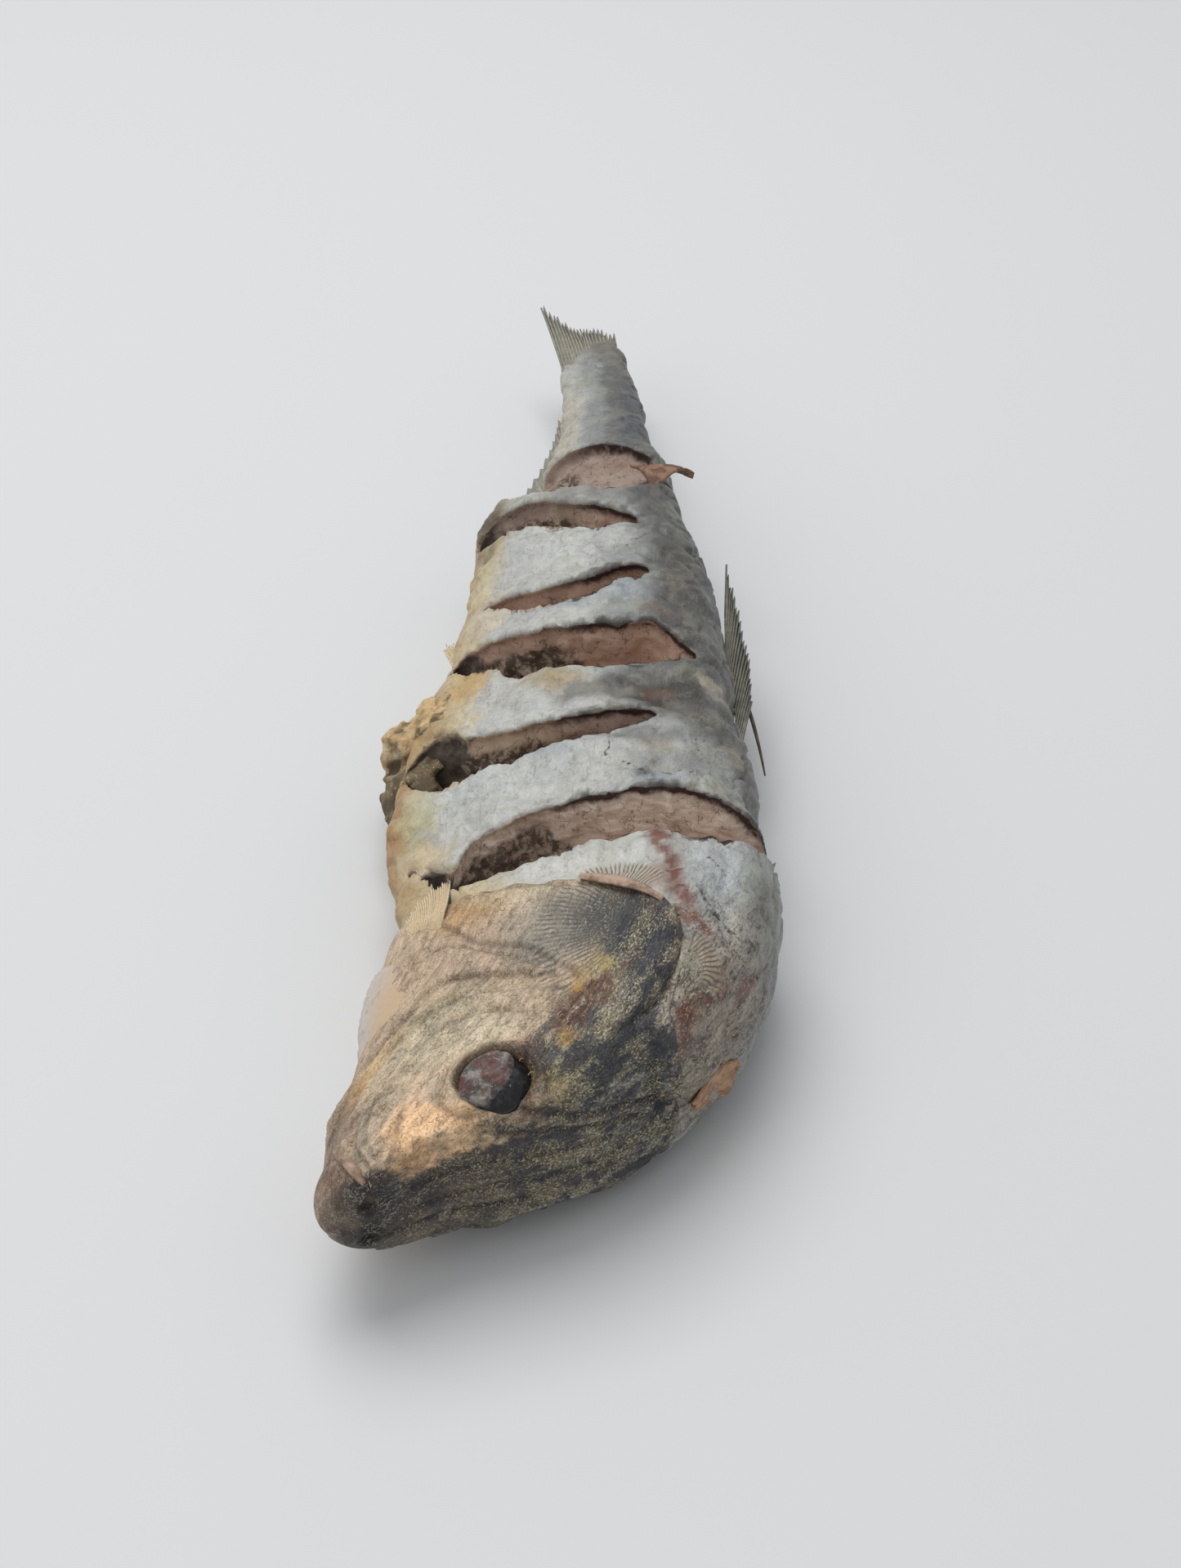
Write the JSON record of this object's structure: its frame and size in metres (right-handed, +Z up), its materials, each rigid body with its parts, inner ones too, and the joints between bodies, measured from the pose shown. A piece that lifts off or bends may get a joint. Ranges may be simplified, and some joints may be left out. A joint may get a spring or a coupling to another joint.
{
  "type": "freeze-dried sardine",
  "caption": "Whole freeze-dried sardine lying on its flank, head bent towards the belly, upper flank slashed to the bone, belly burst, fins folded and dry.",
  "frame": {"origin": "under the middle of the fish's box, on the surface that it lies on", "axes": "+Z up, +Y to the tail, +X to the back, -X to the belly; the right flank is up"},
  "size_m": [0.0422, 0.1714, 0.0213],
  "materials": {
    "dried_skin": "matte"
  },
  "bodies": {
    "root": {"sardine": "dried_skin"}
  },
  "joints": []
}
